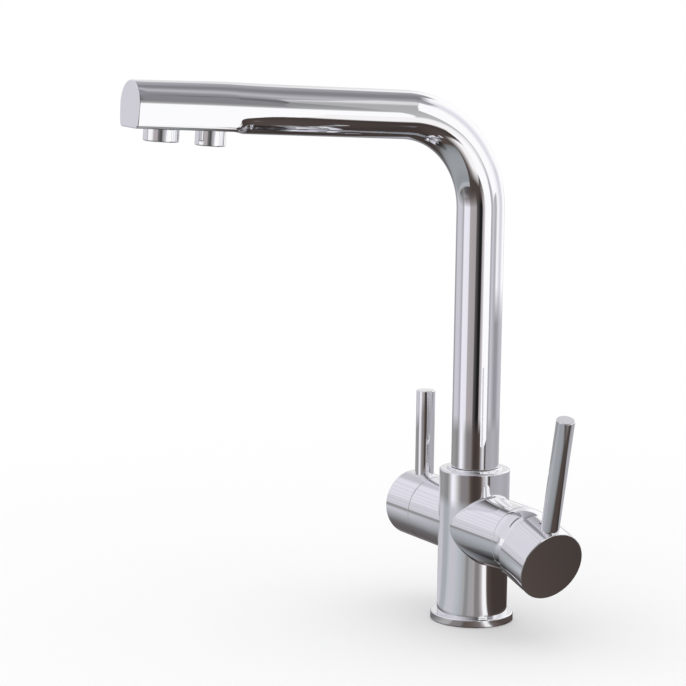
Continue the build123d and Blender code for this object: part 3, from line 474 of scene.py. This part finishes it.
def table_shader():
    """Cloth and dark wood, with the room's reflection in a varnish painted in where it is seen at a low
    angle.
    """
    shader = Shader("table_top")
    x, y = shader.split(shader.place())[:2]
    away = shader.away()
    reflectance = shader.add("ShaderNodeFresnel", {"IOR": TABLE_GLOSS}).outputs[0]
    foot, near, middle, far = table_looks(shader, x, y, away, reflectance)
    near = shader.mix(shader.within((y, *BACK_LIGHT_Y), (x, *BACK_LIGHT_END_X)), near, BACK_LIGHT)
    colour = foot
    for step, look in zip(RING_STEPS, (near, middle, far)):
        colour = shader.mix(shader.between(away, *step), colour, look)
    colour = shader.mix(window_glow(shader, x, y, away, reflectance), colour, LAMPLIGHT)
    angle = shader.angle(x, y)
    behind = shader.within((shader.math("ABSOLUTE", angle), *BEHIND_FROM), (away, *BEHIND_AWAY))
    return shader.glow(shader.mix(behind, colour, stripes(shader, angle, WALL_LOW)))


def circle(radius, height):
    """Points round the tap, at a height."""
    out = [side(360.0 * step / ROOM_STEPS) * radius for step in range(ROOM_STEPS)]
    return [point + Vector((0, 0, height)) for point in out]


def card(name, outline, fade):
    """A flat upright glowing card on the mixer's side, from its outline as (y, z)."""
    corners = [(CARD_X, y, z) for y, z in outline]
    shader = Shader(name)
    height = shader.split(shader.place())[2]
    material = shader.glow(shader.ramp(height, fade))
    only_reflected(new_mesh(name, corners, [tuple(range(len(corners)))], material))


def make_room():
    """The round room, the table in it, and the cards that stand on the mixer's side."""
    wall = []
    for row in range(ROOM_ROWS + 1):
        elevation = radians(ROOM_FROM + (ROOM_TO - ROOM_FROM) * row / ROOM_ROWS)
        wall += circle(ROOM_RADIUS * cos(elevation), ROOM_RADIUS * sin(elevation))
    faces = ring_faces(ROOM_ROWS + 1, ROOM_STEPS)
    only_reflected(new_mesh("room", wall, faces, room_shader(), smooth=True))
    table = circle(TABLE_RADIUS, TABLE_HEIGHT)
    only_reflected(new_mesh("table_top", table, [tuple(range(ROOM_STEPS))], table_shader()))
    for name, outline, fade in CARDS:
        card(name, outline, fade)


def make_world():
    """Soft white light from all round, which is the pale background too."""
    world = bpy.data.worlds.new("studio")
    world.use_nodes = True
    background = world.node_tree.nodes["Background"]
    background.inputs["Color"].default_value = white(1.0)
    background.inputs["Strength"].default_value = 1.0
    bpy.context.scene.world = world


def make_floor():
    """A pale floor that keeps the shadow near the tap and fades to plain white further off."""
    shader = Shader("pale_floor")
    tone = shader.ramp(shader.noise(FLOOR_GRAIN), FLOOR_TONE)
    paper = shader.add("ShaderNodeBsdfDiffuse", {"Color": tone})
    light = shader.add("ShaderNodeEmission", {"Color": white(1.0)})
    path = shader.add("ShaderNodeLightPath").outputs
    seen = shader.math("MAXIMUM", path["Is Glossy Ray"], path["Is Transmission Ray"])
    seen = shader.math("MAXIMUM", path["Is Camera Ray"], seen)
    share = shader.math("MULTIPLY", shader.between(shader.away(), *FLOOR_FADE), seen)
    both = shader.add("ShaderNodeMixShader", {0: share, 1: paper.outputs[0], 2: light.outputs[0]})
    half = FLOOR_SIZE / 2
    corners = [(-half, -half, 0), (half, -half, 0), (half, half, 0), (-half, half, 0)]
    floor = new_mesh("floor", corners, [(0, 1, 2, 3)], shader.finish(both))
    floor.visible_glossy = False


# ---- Materials of the tap ----
CHROME_COLOUR = (0.86, 0.86, 0.88, 1)
CHROME_WEAR, CHROME_GLOSS = 38.0, [(0.35, 0.012), (0.75, 0.035)]  # its noise's scale; its roughness
CHROME_RIPPLE, RIPPLE_STRENGTH, RIPPLE_DEPTH = 26.0, 0.04, 0.0004
CHROME_EDGE = 0.0004  # radius of its softened edges
GRAIN_DEPTH = 0.0002

PLUG_RADIUS = 0.0019
FLAT_WITHIN = 0.00001  # how flat the plug's end is taken to be
DOME_RADIUS, DOME_HEIGHT = 0.00182, 0.0010
DOME_ROWS, DOME_STEPS = 10, 48
DOME_WEAR, DOME_GLOSS = 900.0, [(0.3, 0.10), (0.7, 0.20)]
# The button's rings: (distance from the middle of its foot as a share of PLUG_RADIUS, colour).
INDICATOR_RINGS = [
    (0.0, (0.28, 0.015, 0.03)), (0.64, (0.32, 0.02, 0.035)), (0.70, (0.90, 0.76, 0.79)),
    (0.82, (0.92, 0.82, 0.84)), (0.87, (0.07, 0.03, 0.04)),
]


def chrome():
    """Plated metal: a slight ripple, faint wear in its gloss, and softened edges."""
    shader = Shader("chrome")
    rough = shader.ramp(shader.noise(CHROME_WEAR, detail=6.0), CHROME_GLOSS)
    ripple = shader.noise(CHROME_RIPPLE, detail=1.0)
    normal = shader.bump(ripple, RIPPLE_STRENGTH, RIPPLE_DEPTH, shader.rounded(CHROME_EDGE))
    return shader.surface({
        "Base Color": CHROME_COLOUR, "Metallic": 1.0, "Roughness": rough, "Normal": normal,
    })


def grained(name, colour, roughness, metallic=0.0, grain=120.0, stretch=None, relief=0.15):
    """A plain material with a little drift in its colour, and a grain in its gloss and relief."""
    shader = Shader(name)
    darker = tuple(part * 0.90 for part in colour)
    drift = shader.ramp(shader.noise(grain / 4, detail=3.0), [(0.3, darker), (0.7, colour)])
    texture = shader.noise(grain, detail=5.0, stretch=stretch)
    rough = shader.ramp(texture, [(0.3, roughness * 0.75), (0.7, min(1.0, roughness * 1.3))])
    return shader.surface({
        "Base Color": drift, "Metallic": metallic, "Roughness": rough,
        "Normal": shader.bump(texture, relief, GRAIN_DEPTH),
    })


def plug_top():
    """The middle of the indicator plug's flat end, and the direction that it faces."""
    mesh = nodes["indicator_plug"].data
    up = max(mesh.polygons, key=lambda face: face.center.z).normal.normalized()
    height = max(vertex.co.dot(up) for vertex in mesh.vertices)
    rim = [vertex.co for vertex in mesh.vertices if height - vertex.co.dot(up) < FLAT_WITHIN]
    lows, highs = [min(part) for part in zip(*rim)], [max(part) for part in zip(*rim)]
    return (Vector(lows) + Vector(highs)) / 2, up


def indicator():
    """A glossy button with a dark red middle in a pale ring."""
    shader = Shader("indicator")
    away = shader.away(plug_top()[0])
    colour = shader.ramp(shader.between(away, 0.0, PLUG_RADIUS), INDICATOR_RINGS)
    rough = shader.ramp(shader.noise(DOME_WEAR, detail=3.0), DOME_GLOSS)
    return shader.surface({"Base Color": colour, "Roughness": rough})


def make_indicator_dome(material):
    """The button's low dome, on the flat end of its plug."""
    middle, up = plug_top()
    across = up.orthogonal().normalized()
    along = up.cross(across)
    points = []
    for row in range(DOME_ROWS):
        rise = pi / 2 * row / DOME_ROWS
        for step in range(DOME_STEPS):
            turn = 2 * pi * step / DOME_STEPS
            out = (across * cos(turn) + along * sin(turn)) * (DOME_RADIUS * cos(rise))
            points.append(middle + out + up * (DOME_HEIGHT * sin(rise)))
    faces = ring_faces(DOME_ROWS, DOME_STEPS)
    top, last = len(points), len(points) - DOME_STEPS
    faces += [(last + step, last + (step + 1) % DOME_STEPS, top) for step in range(DOME_STEPS)]
    faces.append(tuple(reversed(range(DOME_STEPS))))
    points.append(middle + up * DOME_HEIGHT)
    dome = new_mesh("indicator_dome", points, faces, material, smooth=True)
    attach(dome, "mixer_handle")


TURNED = (1.0, 1.0, 24.0)  # fine rings round an upright piece, as a lathe leaves them
LOOKS = {
    "chrome": chrome,
    "rubber": lambda: grained("rubber", (0.035, 0.035, 0.037), 0.55, grain=900.0, relief=0.35),
    "steel": lambda: grained("steel", (0.62, 0.62, 0.63), 0.26, metallic=1.0, grain=260.0, stretch=TURNED),
    "cartridge_plastic": lambda: grained("cartridge_plastic", (0.86, 0.86, 0.83), 0.42, grain=500.0),
    "insert_plastic": lambda: grained("insert_plastic", (0.75, 0.76, 0.78), 0.38, grain=600.0),
    "ceramic": lambda: grained("ceramic", (0.94, 0.93, 0.89), 0.14, grain=1500.0, relief=0.05),
    "brass": lambda: grained("brass", (0.60, 0.48, 0.28), 0.34, metallic=1.0, grain=300.0, stretch=TURNED),
    "indicator": indicator,
}


def dress_nodes(made):
    """Gives every carried-over node the material that its row in the record asks for."""
    for row in frame["record"]["subparts"]:
        mesh = nodes[row["node"]].data
        mesh.materials.clear()
        mesh.materials.append(made[row["material_slot"]])


# ---- The spout's skin: a tube that passes smoothly into its flat-bottomed head ----
# A place on the spout is (u, v) in its section, to the right and up, and a distance along the arm.
TUBE_RADIUS = 0.0155
TUBE_WALL = 0.0012
ARM_HEIGHT = 0.3295  # of the arm's axis, where it meets the riser's
ARM_RISE = radians(3.3)
BEND_RADIUS = 0.063
REACH = 0.2505  # along the arm
HEAD_START, SHOULDER_END = 0.172, 0.184  # where the tube's underside passes into the head's flat one
# The head's outlines: half its width, its top, half of its flat's width, its flat's depth.
BACK_OUTLINE = (0.0146, 0.0159, 0.0126, 0.0137)
END_OUTLINE = (0.0132, 0.0148, 0.0116, 0.0137)
HEAD_CORNER = 0.0026  # radius between a side and the flat
HEAD_EDGE = 0.0006  # radius round the head's end
END_WALL = 0.0015
SIDES_BLEND = (0.150, 0.206)  # where the tube's back and sides pass into the head's
UNDERSIDE = (0.2 * TUBE_RADIUS, 0.75 * TUBE_RADIUS)  # depths between which a side turns underside
BEFORE_ARM = -1  # the distance along the arm of a place that isn't on it
# How finely the section and the spout's length are divided.
TOP_STEPS, SIDE_STEPS, CORNER_STEPS, FLAT_STEPS = 48, 14, 8, 12
RISER_STEPS, BEND_STEPS, ARM_STEPS = 12, 72, 12
BACK_STEPS, SHOULDER_STEPS, HEAD_STEPS, EDGE_STEPS = 12, 36, 8, 6


def ease(value, start, end):
    """From 0 to 1 between start and end, with soft ends."""
    share = min(1.0, max(0.0, (value - start) / (end - start)))
    return share * share * (3 - 2 * share)


def spread(start, end, steps):
    """Even steps from start, without the end."""
    return [start + (end - start) * step / steps for step in range(steps)]


def arc(middle, radius, start, end, steps):
    """Points on an arc, without its last one."""
    turns = spread(start, end, steps)
    return [(middle[0] + radius * cos(turn), middle[1] + radius * sin(turn)) for turn in turns]


def head_outline(half, top, foot, depth):
    """The head's outline, round from its right side: arched back, bowed sides and a flat underside."""
    bow = ((foot - half) ** 2 + depth ** 2) / (2 * (half - foot))
    middle = half - bow
    level = -depth + HEAD_CORNER
    across = middle + sqrt((bow - HEAD_CORNER) ** 2 - level ** 2)
    touch = atan2(level, across - middle)
    points = [(half * cos(turn), top * sin(turn)) for turn in spread(0, pi, TOP_STEPS)]
    right = arc((middle, 0), bow, 0, touch, SIDE_STEPS)
    right += arc((across, level), HEAD_CORNER, touch, -pi / 2, CORNER_STEPS)
    points += [(-u, v) for u, v in right]
    points += [(u, -depth) for u in spread(-across, across, FLAT_STEPS)] + [(across, -depth)]
    return points + right[:0:-1]


def spout_section(along, inset):
    """The spout's outline at a distance along its arm, drawn in by an inset."""
    share = min(1.0, max(0.0, (along - SHOULDER_END) / (REACH - SHOULDER_END)))
    sizes = [back + (end - back) * share - inset for back, end in zip(BACK_OUTLINE, END_OUTLINE)]
    points = []
    for (u, v), (u_back, v_back) in zip(head_outline(*sizes), head_outline(*BACK_OUTLINE)):
        size = (TUBE_RADIUS - inset) / hypot(u_back, v_back)
        low = ease(-v_back, *UNDERSIDE)
        whole = (1 - low) * ease(along, *SIDES_BLEND) + low * ease(along, HEAD_START, SHOULDER_END)
        points.append((u_back * size * (1 - whole) + u * whole, v_back * size * (1 - whole) + v * whole))
    return points


def arm_places(start, end, edge):
    """Down the arm from the bend to the head's end: (distance along the arm, extra inset)."""
    sides_start, sides_end = SIDES_BLEND
    places = spread(start, sides_start, ARM_STEPS) + spread(sides_start, HEAD_START, BACK_STEPS)
    places += spread(HEAD_START, sides_end, SHOULDER_STEPS) + spread(sides_end, end - edge, HEAD_STEPS)
    places = [(place, 0) for place in places]
    if not edge:
        return places + [(end, 0)]
    turns = [pi / 2 / EDGE_STEPS * step for step in range(EDGE_STEPS + 1)]
    return places + [(end - edge + edge * sin(turn), edge * (1 - cos(turn))) for turn in turns]


def spout_stations(foot, end, edge):
    """Up the riser, round the bend and down the arm: (middle, up, distance along the arm, extra inset)."""
    turn = pi / 2 - ARM_RISE
    start = BEND_RADIUS * tan(turn / 2)
    rise = ARM_HEIGHT - start
    riser = spread(foot, rise, RISER_STEPS)
    stations = [(Vector((0, 0, height)), Vector((0, 1, 0)), BEFORE_ARM, 0) for height in riser]
    for angle in spread(0, turn, BEND_STEPS):
        up = Vector((0, cos(angle), sin(angle)))
        stations.append((Vector((0, -BEND_RADIUS, rise)) + up * BEND_RADIUS, up, BEFORE_ARM, 0))
    up = Vector((0, cos(turn), sin(turn)))
    forward = Vector((0, -cos(ARM_RISE), sin(ARM_RISE)))
    for along, inset in arm_places(start, end, edge):
        stations.append((Vector((0, 0, ARM_HEIGHT)) + forward * along, up, along, inset))
    return stations


def spout_surface(foot, end, edge, inset):
    """Points and faces of the spout's outside or inside, closed at the head's end."""
    points = []
    stations = spout_stations(foot, end, edge)
    for middle, up, along, drawn_in in stations:
        section = spout_section(along, inset + drawn_in)
        points += [middle + Vector((u, 0, 0)) + up * v for u, v in section]
    count = len(section)
    faces = ring_faces(len(stations), count)
    points += points[-count:]
    faces.append(tuple(range(len(points) - count, len(points))))
    return points, faces, count


def make_spout_skin(material):
    """The spout's whole shell: its outside, its inside, and a sharp-edged rim between them at the foot."""
    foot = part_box("spout_shell")[0][2]
    points, faces, count = spout_surface(foot, REACH, HEAD_EDGE, 0)
    inner_points, inner_faces, count = spout_surface(foot, REACH - END_WALL, 0, TUBE_WALL)
    shift = len(points)
    faces += [tuple(shift + corner for corner in reversed(face)) for face in inner_faces]
    faces += [(step, shift + step, shift + (step + 1) % count, (step + 1) % count) for step in range(count)]
    skin = new_mesh("spout_skin", points + inner_points, faces, material, smooth=True)
    for edge in skin.data.edges:
        first, last = sorted(edge.vertices)
        edge.use_edge_sharp = last < count or shift <= first and last < shift + count
    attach(skin, "spout")
    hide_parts("spout_shell")


make_camera()
make_world()
make_room()
make_floor()
made = {slot: look() for slot, look in LOOKS.items()}
dress_nodes(made)
make_spout_skin(made["chrome"])
make_indicator_dome(made["indicator"])
bpy.context.scene.view_settings.view_transform = "Standard"
